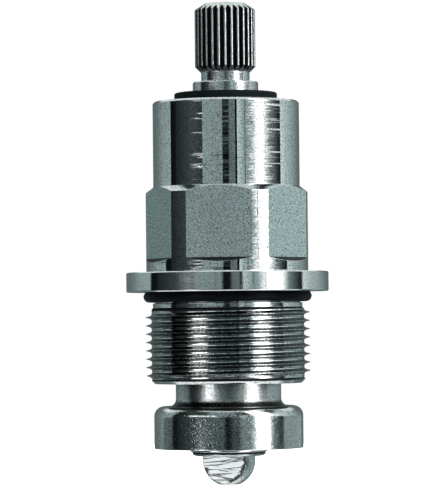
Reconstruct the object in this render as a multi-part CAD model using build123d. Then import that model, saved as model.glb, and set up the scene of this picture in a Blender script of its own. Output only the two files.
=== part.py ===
from build123d import *
import math
import os

# Faucet stem with a spindle that turns in place and a plunger that slides.
# Millimetres. +Z runs up the spindle, the origin is the centre of the flange's underside,
# and -Y is the side with the broad milled flat.

# Fits and end floats
running_clearance = 0.05
seal_clearance = 0.03
axial_float = 0.05

# Bonnet, outside
flange_diameter = 30.85
flange_thickness = 3.0
flange_edge_chamfer = 0.15
round_diameter = 24.7
round_height = 1.5
across_flats = 22.65
flat_turn = -6.3
ledge_drop = 0.6
full_flat_length = 10.0
hex_chamfer_height = 0.9
barrel_diameter = 22.35
barrel_length = 13.0
barrel_chamfer = 0.3

# Bonnet, threaded end below the flange
oring_recess_depth = 0.2
oring_recess_room = 0.25
oring_stand_out = 0.325
oring_groove_height = 1.9
relief_height = 0.7
relief_undercut = 0.22
thread_diameter = 25.05
thread_pitch = 1.27
thread_flank_angle = 30.0
thread_crest_share = 0.125
thread_depth = 0.905
thread_length = 11.54
thread_lead_in = 0.98
thread_end_chamfer = 0.34

# Bonnet, inside
thrust_face_height = 18.0
guide_across_flats = 13.9
guide_foot_height = 2.0
broach_relief_diameter = 16.3
broach_relief_height = 2.0
mouth_chamfer = 1.3

# Spindle
spline_teeth = 28
spline_diameter = 9.25
spline_root_diameter = 7.8
tooth_tip_width = 0.33
tooth_gap_floor_width = 0.22
spline_length = 10.5
top_face_diameter = 6.2
top_chamfer_height = 1.0
foot_chamfer = 0.85
neck_diameter = 7.4
neck_length = 1.5
journal_diameter = 10.0
journal_stand_out = 3.0
journal_edge_chamfer = 0.15
thrust_collar_diameter = 13.4
thrust_collar_height = 2.4
lead_screw_diameter = 10.0
lead = 2.0
lead_screw_end_height = -5.0
screw_undercut_diameter = 7.4
screw_undercut_height = 1.5
screw_end_chamfer = 0.8
handle_screw_drill = 4.2
handle_screw_depth = 11.0
handle_screw_countersink = 0.5

# Retaining ring
ring_diameter = 15.7
ring_thickness = 1.3
ring_seat_diameter = 8.8
ring_relief_diameter = 11.2
ring_mouth_width = 8.0
ring_prong_width = 3.0
ring_edge_chamfer = 0.25
ring_seat_clearance = 0.01
ring_prong_root = 0.4

# Thrust washer and sealing rings
thrust_washer_thickness = 1.0
thrust_washer_overlap = 1.6
spindle_oring_section = 1.5
spindle_oring_heights = {"upper": 26.2, "lower": 21.8}
flange_oring_section = 1.78
plunger_oring_section = 1.78
plunger_oring_height = -5.5
oring_side_room = 0.6

# Plunger
plunger_neck_diameter = 16.06
plunger_neck_show = 3.43
neck_fillet = 1.1
head_diameter = 22.7
head_length = 6.43
head_shoulder_radius = 1.68
plunger_top_height = 10.8
guide_length = 12.3
guide_end_chamfer = 0.5
nut_bore_depth = 20.3
nut_bore_chamfer = 0.5
cup_wall = 2.05
cup_depth = 3.6

# Seat washer, its retainer and the seat screw
seat_washer_thickness = 3.4
seat_hole_clearance = 0.4
retainer_diameter = 11.9
retainer_thickness = 1.85
retainer_seat_depth = 0.5
retainer_edge_radius = 1.1
seat_screw_diameter = 4.5
seat_screw_reach = 4.9
seat_screw_end_chamfer = 0.4
seat_screw_hole_spare = 0.6
dome_diameter = 8.0
dome_rim_height = 0.7
dome_end_depth = 3.69
dome_flat_offset = 2.04
dome_flat_turn = -20.0

# Heights that follow
flange_top = flange_thickness
ledge_outer_end = flange_top + round_height
flats_end = ledge_outer_end + ledge_drop
full_flat_top = flats_end + full_flat_length
hex_top = full_flat_top + hex_chamfer_height
bonnet_top = hex_top + barrel_length
relief_top = oring_recess_depth - oring_groove_height
thread_top = relief_top - relief_height
bonnet_end = thread_top - thread_length
journal_top = bonnet_top + journal_stand_out
spline_foot = journal_top + neck_length
spindle_top = spline_foot + spline_length
thrust_washer_top = thrust_face_height - axial_float
collar_top = thrust_washer_top - thrust_washer_thickness
collar_end = collar_top - thrust_collar_height
head_top = bonnet_end - plunger_neck_show
head_end = head_top - head_length
guide_foot = plunger_top_height - guide_length
cup_floor = head_end + cup_depth
seat_washer_end = cup_floor - seat_washer_thickness
retainer_top = seat_washer_end + retainer_seat_depth
retainer_end = retainer_top - retainer_thickness
dome_centre = retainer_end - dome_rim_height
dome_end = dome_centre - dome_end_depth
seat_screw_tip = cup_floor + seat_screw_reach
nut_bore_end = plunger_top_height - nut_bore_depth

# Radii that follow
journal_radius = journal_diameter / 2
journal_bore_radius = journal_radius + running_clearance
plunger_neck_radius = plunger_neck_diameter / 2
plunger_bore_radius = plunger_neck_radius + running_clearance
thread_crest_width = thread_crest_share * thread_pitch
thread_root_radius = thread_diameter / 2 - thread_depth
relief_radius = thread_root_radius - relief_undercut
lead_screw_radius = (lead_screw_diameter - lead / 2) / 2
nut_bore_radius = lead_screw_radius + running_clearance
cup_radius = head_diameter / 2 - cup_wall
seat_screw_hole_radius = seat_screw_diameter / 2 + running_clearance
screw_pass_radius = seat_screw_diameter / 2 + seat_hole_clearance
drill_point_slope = math.tan(math.radians(31))


def turned(points):
    """A solid turned about the Z axis from a closed outline of (radius, height) points."""
    outline = Polyline(*[(radius, 0, height) for radius, height in points], close=True)
    return revolve(make_face(outline), axis=Axis.Z)


def hexagon_bar(width, low, high):
    """A hexagonal bar of the given width across flats, one flat square to the bonnet's broad flat."""
    section = RegularPolygon(width / 2, 6, major_radius=False, rotation=flat_turn)
    return Pos(0, 0, low) * extrude(section, high - low)


def oring(inner_radius, section, height, sides):
    """A sealing ring, its section a polygon with flat sides on the groove's floor and on the bore."""
    polygon = RegularPolygon(section / 2, sides, major_radius=False, rotation=180 / sides)
    return revolve(Plane.XZ * Pos(inner_radius + section / 2, height) * polygon, axis=Axis.Z)


def edges_at(solid, radius, height):
    """The round edges of a turned solid with that radius at that height."""
    rims = solid.edges().filter_by(GeomType.CIRCLE)
    return [e for e in rims if abs(e.radius - radius) < 0.01 and abs(e.center().Z - height) < 0.01]


def make_flat_cutter():
    """The space that the milling cutter clears for one flat, with the sloping end that it leaves."""
    plane_distance = across_flats / 2
    outer = round_diameter / 2 + 1
    slope = ledge_drop / (round_diameter / 2 - plane_distance)
    outline = Polyline(
        (plane_distance, 0, hex_top + 1),
        (plane_distance, 0, flats_end),
        (outer, 0, flats_end - slope * (outer - plane_distance)),
        (outer, 0, hex_top + 1),
        close=True,
    )
    return extrude(make_face(outline), round_diameter / 2, dir=(0, 1, 0), both=True)


def thread_ridges():
    """The outline down the thread: its section repeated at the pitch, as rings in place of the helix."""
    crest = thread_diameter / 2
    half_crest = thread_crest_width / 2
    half_foot = half_crest + thread_depth * math.tan(math.radians(thread_flank_angle))
    room = thread_length - thread_lead_in - thread_end_chamfer - half_foot
    points = []
    for k in range(int(room / thread_pitch) + 1):
        height = thread_top - thread_lead_in - k * thread_pitch
        points += [
            (thread_root_radius, height + half_foot),
            (crest, height + half_crest),
            (crest, height - half_crest),
            (thread_root_radius, height - half_foot),
        ]
    return points


def make_bonnet():
    """The body: barrel, milled hexagon, flange, seal groove and threaded end, bored through in steps."""
    flange = flange_diameter / 2
    full = round_diameter / 2
    barrel = barrel_diameter / 2
    groove = flange_oring_radius()
    recess = groove + flange_oring_section + oring_recess_room
    body = turned(
        [
            (journal_bore_radius, bonnet_top),
            (barrel - barrel_chamfer, bonnet_top),
            (barrel, bonnet_top - barrel_chamfer),
            (barrel, hex_top),
            (full, full_flat_top),
            (full, flange_top),
            (flange - flange_edge_chamfer, flange_top),
            (flange, flange_top - flange_edge_chamfer),
            (flange, flange_edge_chamfer),
            (flange - flange_edge_chamfer, 0),
            (recess, 0),
            (recess, oring_recess_depth),
            (groove, oring_recess_depth),
            (groove, relief_top),
            (relief_radius, relief_top),
            (relief_radius, thread_top),
            (thread_root_radius, thread_top - relief_undercut),
            *thread_ridges(),
            (thread_root_radius, bonnet_end + thread_end_chamfer),
            (thread_root_radius - thread_end_chamfer, bonnet_end),
            (plunger_bore_radius + mouth_chamfer, bonnet_end),
            (plunger_bore_radius, bonnet_end + mouth_chamfer),
            (plunger_bore_radius, guide_foot_height),
            (journal_bore_radius, guide_foot_height),
        ]
    )
    cutter = make_flat_cutter()
    flats = [Rot(0, 0, flat_turn - 90 + 60 * k) * cutter for k in range(6)]
    relief = turned(
        [
            (0, thrust_face_height),
            (broach_relief_diameter / 2, thrust_face_height),
            (broach_relief_diameter / 2, thrust_face_height - broach_relief_height),
            (0, thrust_face_height - broach_relief_height),
        ]
    )
    return body - flats - hexagon_bar(guide_across_flats, guide_foot_height, thrust_face_height) - relief


def flange_oring_radius():
    """The floor radius of the groove under the flange, which lets the ring stand proud of the thread."""
    return thread_diameter / 2 + oring_stand_out - flange_oring_section


def spindle_groove_radius():
    """The floor radius of the seal grooves in the spindle's journal."""
    return journal_bore_radius - spindle_oring_section - 2 * seal_clearance


def plunger_groove_radius():
    """The floor radius of the seal groove in the plunger's neck."""
    return plunger_bore_radius - plunger_oring_section - 2 * seal_clearance


def groove_tool(floor_radius, outer_radius, low, high):
    """A ring that cuts a square groove."""
    return turned([(floor_radius, low), (outer_radius, low), (outer_radius, high), (floor_radius, high)])


def make_spline_gap():
    """One gap between two teeth: straight flanks down to a narrow floor, run out at both ends."""
    tip = spline_diameter / 2
    root = spline_root_diameter / 2
    gap_width = math.pi * spline_diameter / spline_teeth - tooth_tip_width
    flank_slope = (gap_width - tooth_gap_floor_width) / 2 / (tip - root)
    beyond = tip + 0.3
    half_outer = gap_width / 2 + flank_slope * (beyond - tip)
    outline = Polyline(
        (root, -tooth_gap_floor_width / 2),
        (beyond, -half_outer),
        (beyond, half_outer),
        (root, tooth_gap_floor_width / 2),
        close=True,
    )
    return Pos(0, 0, spline_foot - 0.2) * extrude(make_face(outline), spline_length + 0.4)


def make_spindle():
    """The spindle: toothed end for the handle, journal with its grooves, thrust collar and lead screw."""
    neck = neck_diameter / 2
    spline = spline_diameter / 2
    screw = lead_screw_radius
    undercut_end = collar_end - screw_undercut_height
    body = turned(
        [
            (0, spindle_top),
            (top_face_diameter / 2, spindle_top),
            (spline, spindle_top - top_chamfer_height),
            (spline, spline_foot + foot_chamfer),
            (spline - foot_chamfer, spline_foot),
            (neck, spline_foot),
            (neck, journal_top),
            (journal_radius - journal_edge_chamfer, journal_top),
            (journal_radius, journal_top - journal_edge_chamfer),
            (journal_radius, collar_top),
            (thrust_collar_diameter / 2, collar_top),
            (thrust_collar_diameter / 2, collar_end),
            (screw_undercut_diameter / 2, collar_end),
            (screw_undercut_diameter / 2, undercut_end),
            (screw, undercut_end - screw + screw_undercut_diameter / 2),
            (screw, lead_screw_end_height + screw_end_chamfer),
            (screw - screw_end_chamfer, lead_screw_end_height),
            (0, lead_screw_end_height),
        ]
    )
    gap = make_spline_gap()
    step = 360 / spline_teeth
    gaps = [Rot(0, 0, -90 + step * (k + 0.5)) * gap for k in range(spline_teeth)]
    beyond = journal_radius + 1
    ring_groove_top = bonnet_top + ring_thickness + 2 * axial_float
    grooves = [groove_tool(ring_seat_diameter / 2, beyond, bonnet_top, ring_groove_top)]
    half_groove = (spindle_oring_section + oring_side_room) / 2
    for height in spindle_oring_heights.values():
        grooves.append(
            groove_tool(spindle_groove_radius(), beyond, height - half_groove, height + half_groove)
        )
    drill = handle_screw_drill / 2
    hole_end = spindle_top - handle_screw_depth
    hole = turned(
        [
            (0, spindle_top + 1),
            (drill + handle_screw_countersink, spindle_top + 1),
            (drill + handle_screw_countersink, spindle_top),
            (drill, spindle_top - handle_screw_countersink),
            (drill, hole_end),
            (0, hole_end - drill * drill_point_slope),
        ]
    )
    return body - gaps - grooves - hole


def make_retaining_ring():
    """An E-shaped ring: a disc with a mouth at the back and three prongs that grip the spindle's groove."""
    low = bonnet_top + axial_float
    seat = ring_seat_diameter / 2 + ring_seat_clearance
    disc = Circle(ring_diameter / 2) - Circle(ring_relief_diameter / 2)
    reach = ring_relief_diameter / 2 + ring_prong_root - seat
    prong = Pos(seat + reach / 2, 0) * Rectangle(reach, ring_prong_width)
    prongs = [Rot(0, 0, angle) * prong for angle in (-90, 10, 170)]
    mouth = Pos(0, ring_diameter / 2) * Rectangle(ring_mouth_width, ring_diameter)
    section = disc + prongs - mouth - Circle(seat)
    ring = Pos(0, 0, low) * extrude(section, ring_thickness)
    return chamfer(edges_at(ring, ring_diameter / 2, low + ring_thickness), ring_edge_chamfer)


def make_thrust_washer():
    """The slip washer between the spindle's collar and the bonnet's inner step."""
    inner = journal_radius + running_clearance
    return turned(
        [
            (inner, collar_top),
            (inner + thrust_washer_overlap, collar_top),
            (inner + thrust_washer_overlap, thrust_washer_top),
            (inner, thrust_washer_top),
        ]
    )


def make_plunger():
    """The plunger: hexagonal guide, round neck with its seal groove, and the head with the washer cup."""
    neck = plunger_neck_radius
    head = head_diameter / 2
    body = turned(
        [
            (0, plunger_top_height),
            (neck - guide_end_chamfer, plunger_top_height),
            (neck, plunger_top_height - guide_end_chamfer),
            (neck, head_top),
            (head, head_top),
            (head, head_end),
            (cup_radius, head_end),
            (cup_radius, cup_floor),
            (0, cup_floor),
        ]
    )
    body = fillet(edges_at(body, neck, head_top), neck_fillet)
    body = fillet(edges_at(body, head, head_top), head_shoulder_radius)
    guide_width = guide_across_flats - 2 * running_clearance
    corner_radius = guide_width / math.sqrt(3) - 2 * running_clearance
    blank = groove_tool(0, neck + 1, guide_foot, plunger_top_height + 1)
    guide = hexagon_bar(guide_width, guide_foot, plunger_top_height)
    guide &= turned(
        [
            (0, guide_foot),
            (corner_radius, guide_foot),
            (corner_radius, plunger_top_height - guide_end_chamfer),
            (corner_radius - guide_end_chamfer, plunger_top_height),
            (0, plunger_top_height),
        ]
    )
    half_groove = (plunger_oring_section + oring_side_room) / 2
    groove = groove_tool(
        plunger_groove_radius(),
        neck + 1,
        plunger_oring_height - half_groove,
        plunger_oring_height + half_groove,
    )
    nut_bore = turned(
        [
            (0, plunger_top_height + 1),
            (nut_bore_radius + nut_bore_chamfer, plunger_top_height + 1),
            (nut_bore_radius + nut_bore_chamfer, plunger_top_height),
            (nut_bore_radius, plunger_top_height - nut_bore_chamfer),
            (nut_bore_radius, nut_bore_end),
            (0, nut_bore_end - nut_bore_radius * drill_point_slope),
        ]
    )
    screw_hole_end = seat_screw_tip + seat_screw_hole_spare
    screw_hole = turned(
        [
            (0, cup_floor - 1),
            (seat_screw_hole_radius, cup_floor - 1),
            (seat_screw_hole_radius, screw_hole_end),
            (0, screw_hole_end + seat_screw_hole_radius * drill_point_slope),
        ]
    )
    return (body - blank + guide) - groove - nut_bore - screw_hole


def make_seat_washer():
    """The soft washer in the plunger's cup, with a shallow seat for the retainer."""
    outer = cup_radius - running_clearance
    seat = retainer_diameter / 2 + running_clearance
    return turned(
        [
            (screw_pass_radius, cup_floor),
            (outer, cup_floor),
            (outer, seat_washer_end),
            (seat, seat_washer_end),
            (seat, retainer_top),
            (screw_pass_radius, retainer_top),
        ]
    )


def make_retainer():
    """The dished washer that holds the soft one, its lower edge rolled inwards."""
    rim = retainer_diameter / 2
    washer = groove_tool(screw_pass_radius, rim, retainer_end, retainer_top)
    return fillet(edges_at(washer, rim, retainer_end), retainer_edge_radius)


def make_seat_screw():
    """The seat screw: a domed head with a flat tip and two flats for a spanner, and a plain shank."""
    dome = dome_diameter / 2
    shank = seat_screw_diameter / 2
    tip = math.sqrt(dome**2 - dome_end_depth**2)
    halfway = math.radians(45)
    outline = Polyline(
        (tip, 0, dome_end),
        (0, 0, dome_end),
        (0, 0, seat_screw_tip),
        (shank - seat_screw_end_chamfer, 0, seat_screw_tip),
        (shank, 0, seat_screw_tip - seat_screw_end_chamfer),
        (shank, 0, retainer_end),
        (dome, 0, retainer_end),
        (dome, 0, dome_centre),
    )
    bulge = ThreePointArc(
        (dome, 0, dome_centre),
        (dome * math.cos(halfway), 0, dome_centre - dome * math.sin(halfway)),
        (tip, 0, dome_end),
    )
    screw = revolve(make_face(outline + bulge), axis=Axis.Z)
    outside = (Align.MIN, Align.CENTER, Align.MIN)
    waste = Box(dome_diameter, 2 * dome_diameter, retainer_end - dome_end + 1, align=outside)
    waste = Pos(dome_flat_offset, 0, dome_end - 1) * waste
    flats = [Rot(0, 0, dome_flat_turn - 90 + 180 * side) * waste for side in range(2)]
    return screw - flats


def make_parts():
    """Every piece of the stem by its node's name."""
    spindle_ring = spindle_groove_radius() + seal_clearance
    parts = {
        "bonnet": make_bonnet(),
        "flange_oring": oring(
            flange_oring_radius(), flange_oring_section, oring_recess_depth - flange_oring_section / 2, 8
        ),
        "spindle": make_spindle(),
        "retaining_ring": make_retaining_ring(),
        "thrust_washer": make_thrust_washer(),
        "plunger": make_plunger(),
        "plunger_oring": oring(
            plunger_groove_radius() + seal_clearance, plunger_oring_section, plunger_oring_height, 6
        ),
        "seat_washer": make_seat_washer(),
        "washer_retainer": make_retainer(),
        "seat_screw": make_seat_screw(),
    }
    for place, height in spindle_oring_heights.items():
        parts[f"spindle_oring_{place}"] = oring(spindle_ring, spindle_oring_section, height, 6)
    return parts


os.makedirs("parts", exist_ok=True)
for name, part in make_parts().items():
    export_step(part, f"parts/{name}.step")
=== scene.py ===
import math

import bpy
import numpy as np
from mathutils import Matrix, Vector


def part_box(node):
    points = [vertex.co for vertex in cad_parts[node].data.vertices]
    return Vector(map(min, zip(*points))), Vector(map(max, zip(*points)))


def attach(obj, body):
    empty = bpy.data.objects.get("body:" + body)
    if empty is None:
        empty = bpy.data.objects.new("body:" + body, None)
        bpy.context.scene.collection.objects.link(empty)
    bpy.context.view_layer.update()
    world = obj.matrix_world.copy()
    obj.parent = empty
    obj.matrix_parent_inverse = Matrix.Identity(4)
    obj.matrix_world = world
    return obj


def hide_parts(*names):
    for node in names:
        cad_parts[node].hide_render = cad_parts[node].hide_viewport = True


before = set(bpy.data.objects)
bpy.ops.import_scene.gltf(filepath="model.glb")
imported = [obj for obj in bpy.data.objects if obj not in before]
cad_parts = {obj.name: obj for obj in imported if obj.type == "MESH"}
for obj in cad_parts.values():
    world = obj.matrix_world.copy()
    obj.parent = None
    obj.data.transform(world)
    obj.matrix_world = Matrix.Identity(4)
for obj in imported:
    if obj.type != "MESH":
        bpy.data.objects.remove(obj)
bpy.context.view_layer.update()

bl_info = {
    "name": "Faucet stem",
    "version": (1, 0, 0),
    "blender": (4, 5, 0),
    "location": "3D View > Sidebar > Faucet stem",
    "description": "Dresses the packed faucet stem: plated metal, threads, spline, seals and a studio stage",
    "category": "Object",
}

MM = 0.001
BONNET, SPINDLE, PLUNGER = "bonnet_body", "spindle_body", "plunger_body"


def node_radius(node):
    """Half the width of a CAD node, in millimetres."""
    low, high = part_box(node)
    return (high.x - low.x) / 2 / MM


def node_low(node):
    """The lowest height of a CAD node, in millimetres."""
    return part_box(node)[0].z / MM


def node_high(node):
    """The greatest height of a CAD node, in millimetres."""
    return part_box(node)[1].z / MM


def length(name, description, default):
    """A size in millimetres that the sidebar shows."""
    return bpy.props.FloatProperty(name=name, description=description, default=default, precision=3)


def colour(name, description, default):
    """A linear colour that the sidebar shows."""
    return bpy.props.FloatVectorProperty(
        name=name, description=description, default=default, subtype="COLOR", size=3, min=0.0, max=1.0
    )


class BonnetSizes(bpy.types.PropertyGroup):
    """The bonnet's sizes in millimetres."""

    flange_radius: length("Flange radius", "Half the flange's diameter", node_radius("bonnet"))
    flange_top: length("Flange top", "Height of the flange's upper face", 3.0)
    round_radius: length("Round radius", "Radius of the bar between the flats", 12.35)
    across_flats: length("Across flats", "Width of the hexagon", 22.65)
    flats_end: length("Flats' end", "Height at which the flats stop", 5.1)
    ledge_drop: length("Ledge drop", "How far the ledge under a flat slopes down", 0.6)
    full_flat_top: length("Chamfer foot", "Height at which the hexagon's chamfer starts", 15.1)
    hex_top: length("Hexagon top", "Height at which the chamfer meets the barrel", 16.0)
    barrel_radius: length("Barrel radius", "Half the barrel's diameter", 11.175)
    top: length("Top", "Height of the bonnet's top face", node_high("bonnet"))
    end: length("End", "Height of the threaded end", node_low("bonnet"))
    bore_radius: length("Bore radius", "Radius of the spindle's bore", 5.05)
    plunger_bore: length("Plunger bore", "Radius of the plunger's bore", 8.08)
    groove_radius: length("Groove radius", "Floor radius of the seal groove", 11.07)
    relief_radius: length("Relief radius", "Radius between the seal groove and the thread", 11.4)
    thread_radius: length("Thread radius", "Radius at the thread's crests", 12.525)
    root_radius: length("Root radius", "Radius at the thread's roots", 11.62)
    thread_pitch: length("Thread pitch", "Distance from crest to crest", 1.27)
    relief_top: length("Relief top", "Height at which the seal groove ends", -1.7)
    thread_top: length("Thread top", "Height at which the thread starts", -2.4)
    crest_height: length("Crest height", "Height of the thread's first crest at the left", -3.82)


class SpindleSizes(bpy.types.PropertyGroup):
    """The spindle's sizes in millimetres."""

    teeth: bpy.props.IntProperty(name="Teeth", description="Teeth round the spline", default=28, min=8)
    tip_radius: length("Tip radius", "Radius over the teeth", 4.625)
    gap_radius: length("Gap radius", "Radius at the bottom of the gaps", 3.9)
    tip_width: length("Tip width", "Width of a tooth's flat tip", 0.33)
    gap_width: length("Gap floor", "Width of a gap's floor", 0.22)
    top: length("Top", "Height of the top face", node_high("spindle"))
    end: length("End", "Height of the lead screw's end", node_low("spindle"))
    hole_radius: length("Hole radius", "Crest radius of the handle screw's thread", 2.1)


class PlungerSizes(bpy.types.PropertyGroup):
    """The sizes of the plunger and what it carries, in millimetres."""

    head_radius: length("Head radius", "Half the head's diameter", node_radius("plunger"))
    neck_radius: length("Neck radius", "Half the neck's diameter", 8.03)
    head_top: length("Head top", "Height of the head's upper face", -17.37)
    head_end: length("Head end", "Height of the head's rim", node_low("plunger"))
    top: length("Top", "Height of the guide's upper end", node_high("plunger"))
    shoulder_radius: length("Shoulder radius", "Rounding of the head's shoulder", 1.68)
    neck_fillet: length("Neck fillet", "Rounding between neck and head", 1.1)
    dome_radius: length("Dome radius", "Radius of the seat screw's dome", 4.0)
    dome_centre: length("Dome centre", "Height of the dome's centre", -25.65)
    dome_flat: length("Dome flat", "Distance of the spanner flats from the axis", 2.04)


class FinishColours(bpy.types.PropertyGroup):
    """The colours of the finishes."""

    plating: colour("Plating", "Bright plating", (0.905, 0.93, 0.93))
    satin: colour("Satin plating", "Plating on the plunger and the spindle", (0.86, 0.89, 0.895))
    bore: colour("Bore", "The unplated bore", (0.16, 0.15, 0.12))
    # Painted shade: the plating darkened for the spline's foot, which faces down into shade.
    shade: colour("Darkened plating", "The spline's foot", (0.17, 0.18, 0.185))
    black: colour("Blackened steel", "The retaining ring", (0.009, 0.013, 0.014))
    rubber: colour("Rubber", "Seals", (0.002, 0.003, 0.004))
    slip: colour("Slip washer", "The washer under the spindle's collar", (0.72, 0.72, 0.66))
    floor: colour("Floor", "The pale floor", (0.86, 0.87, 0.87))


def sizes(name):
    """One of the scene's groups of sizes, by its property's name."""
    return getattr(bpy.context.scene, name)


def unit(vector):
    """The vectors along the last axis at length 1."""
    size = np.linalg.norm(vector, axis=-1, keepdims=True)
    return vector / np.maximum(size, 1e-12)


# How corners are rounded: the shortest tangent, the longest as a share of the shorter side, how far the shading points
# may go into the room that is left, the widest turn, and the turn under which a corner counts as straight.
SHORTEST_TANGENT, LONGEST_TANGENT, SUPPORT_SHARE = 0.002, 0.45, 0.3
WIDEST_TURN, STRAIGHT_TURN, TINY = 3.0, 0.02, 1e-4


def rounded(corners, radii, steps=4, closed=True, support=0.05):
    """A profile with its corners rounded, for every column at once.

    corners has the shape (corners, columns, 2), in (radius, height) or (x, y). Each corner is replaced by an arc that
    touches both of its sides: the arc starts at the tangent length, radius times the tangent of half the turn, and runs
    round a centre on the corner's bisector. One more point stands on each side of the arc, so that the shading of the
    flat stretches stays flat. steps is the number of steps in an arc, one for all corners or one for each.
    """
    steps = [steps] * len(radii) if isinstance(steps, int) else steps
    back, ahead = np.roll(corners, 1, axis=0) - corners, np.roll(corners, -1, axis=0) - corners
    room = np.minimum(np.linalg.norm(back, axis=-1), np.linalg.norm(ahead, axis=-1))
    back, ahead = unit(back), unit(ahead)
    rows = []
    for i, radius in enumerate(radii):
        corner = corners[i]
        if not closed and i in (0, len(radii) - 1):
            rows.append(corner)
            continue
        turn = np.arccos(np.clip(-(back[i] * ahead[i]).sum(-1), -1, 1))
        tangent = radius * np.tan(np.minimum(turn, WIDEST_TURN) / 2)
        reach = np.clip(tangent, SHORTEST_TANGENT, LONGEST_TANGENT * room[i])
        arc_radius = reach / np.maximum(np.tan(turn / 2), TINY)
        start = corner + reach[:, None] * back[i]
        stop = corner + reach[:, None] * ahead[i]
        middle = unit(back[i] + ahead[i])
        centre = corner + middle * (arc_radius / np.maximum(np.cos(turn / 2), TINY))[:, None]
        pad = np.minimum(support, SUPPORT_SHARE * (room[i] - reach))[:, None]
        rows.append(start + pad * back[i])
        straight = (turn < STRAIGHT_TURN)[:, None]
        safe = np.where(straight, 1.0, np.sin(turn)[:, None])
        for t in np.linspace(0, 1, steps[i] + 1):
            a = np.where(straight, 1 - t, np.sin((1 - t) * turn)[:, None] / safe)
            b = np.where(straight, t, np.sin(t * turn)[:, None] / safe)
            arc = centre + a * (start - centre) + b * (stop - centre)
            rows.append(np.where(straight, a * start + b * stop, arc))
        rows.append(stop + pad * ahead[i])
    return np.array(rows)


def profile(points, columns):
    """Corner points as an array of (corners, columns, 2). A point's radius or height may itself be a row of columns."""
    return np.array(
        [np.stack([np.broadcast_to(r, columns), np.broadcast_to(z, columns)], axis=-1) for r, z in points], float
    )


def outline(corners, columns, **options):
    """The rounded profile of corners that are given as (radius, height, rounding)."""
    return rounded(profile([corner[:2] for corner in corners], columns), [corner[2] for corner in corners], **options)


def circle(columns):
    """Even angles once round the axis."""
    return np.linspace(0, 2 * math.pi, columns, endpoint=False)


def around(rows, angles):
    """(radius, height) rows carried round the Z axis to the given angles, one angle for each column."""
    radius, height = rows[..., 0], rows[..., 1]
    return np.stack([radius * np.cos(angles), radius * np.sin(angles), height], axis=-1)


def between(values, low, high):
    """Which values lie inside a span."""
    return (values > low) & (values < high)


def faces_where(mask, wrap_rows=False):
    """Which faces of a grid with closed columns have all four corners in the mask."""
    both = mask & np.roll(mask, -1, axis=0)
    both &= np.roll(both, -1, axis=1)
    return both if wrap_rows else both[:-1]


def add_surface(name, body, points, finishes, wrap_rows=False, kinds=None):
    """A closed mesh from a grid of points in millimetres, on a body.

    points has the shape (rows, columns, 3). The columns run round. The rows run round as well, or else the first and
    the last are each closed in one point, their own mean. kinds gives each face of the grid the number of its finish
    in the list of their names. The UV map holds millimetres: along the columns and along the rows, from the first row
    and column.
    """
    rows, columns, _ = points.shape
    vertices = points.reshape(-1, 3) * MM
    i, j = np.meshgrid(np.arange(rows if wrap_rows else rows - 1), np.arange(columns), indexing="ij")
    down, right = (i + 1) % rows, (j + 1) % columns
    quads = [i * columns + j, down * columns + j, down * columns + right, i * columns + right]
    loops = np.stack(quads, -1).ravel()
    starts = np.arange(i.size) * 4
    kinds = np.zeros(i.size, int) if kinds is None else kinds.ravel()
    around_step = np.linalg.norm(np.roll(points, -1, axis=1) - points, axis=-1)
    u = np.concatenate([np.zeros((rows, 1)), np.cumsum(around_step, axis=1)], axis=1)
    along_step = np.linalg.norm(np.roll(points, -1, axis=0) - points, axis=-1)
    v = np.concatenate([np.zeros((1, columns)), np.cumsum(along_step, axis=0)], axis=0)
    corner_u = np.stack([u[i, j], u[down, j], u[down, j + 1], u[i, j + 1]], -1)
    corner_v = np.stack([v[i, j], v[i + 1, j], v[i + 1, right], v[i, right]], -1)
    uv = np.stack([corner_u, corner_v], -1).reshape(-1, 2)
    for at_end in () if wrap_rows else (0, 1):
        ring = (rows - 1) * columns * at_end + np.arange(columns)
        following = np.roll(ring, -1)
        tip = np.full(columns, len(vertices))
        fans = np.stack((ring, tip, following) if at_end else (ring, following, tip), -1).ravel()
        vertices = np.vstack([vertices, vertices[ring].mean(axis=0)])
        starts = np.concatenate([starts, len(loops) + np.arange(columns) * 3])
        loops = np.concatenate([loops, fans])
        kinds = np.concatenate([kinds, np.zeros(columns, int)])
        uv = np.vstack([uv, vertices[fans][:, :2] / MM])
    mesh = bpy.data.meshes.new(name)
    mesh.vertices.add(len(vertices))
    mesh.vertices.foreach_set("co", vertices.ravel())
    mesh.loops.add(len(loops))
    mesh.loops.foreach_set("vertex_index", loops)
    mesh.polygons.add(len(starts))
    mesh.polygons.foreach_set("loop_start", starts)
    mesh.polygons.foreach_set("use_smooth", np.ones(len(starts), bool))
    mesh.polygons.foreach_set("material_index", kinds)
    mesh.uv_layers.new(name="millimetres").uv.foreach_set("vector", uv.ravel())
    mesh.update(calc_edges=True)
    mesh.validate()
    for finish_name in finishes:
        mesh.materials.append(finish(finish_name))
    piece = bpy.data.objects.new(name, mesh)
    bpy.context.scene.collection.objects.link(piece)
    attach(piece, body)
    return piece


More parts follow.
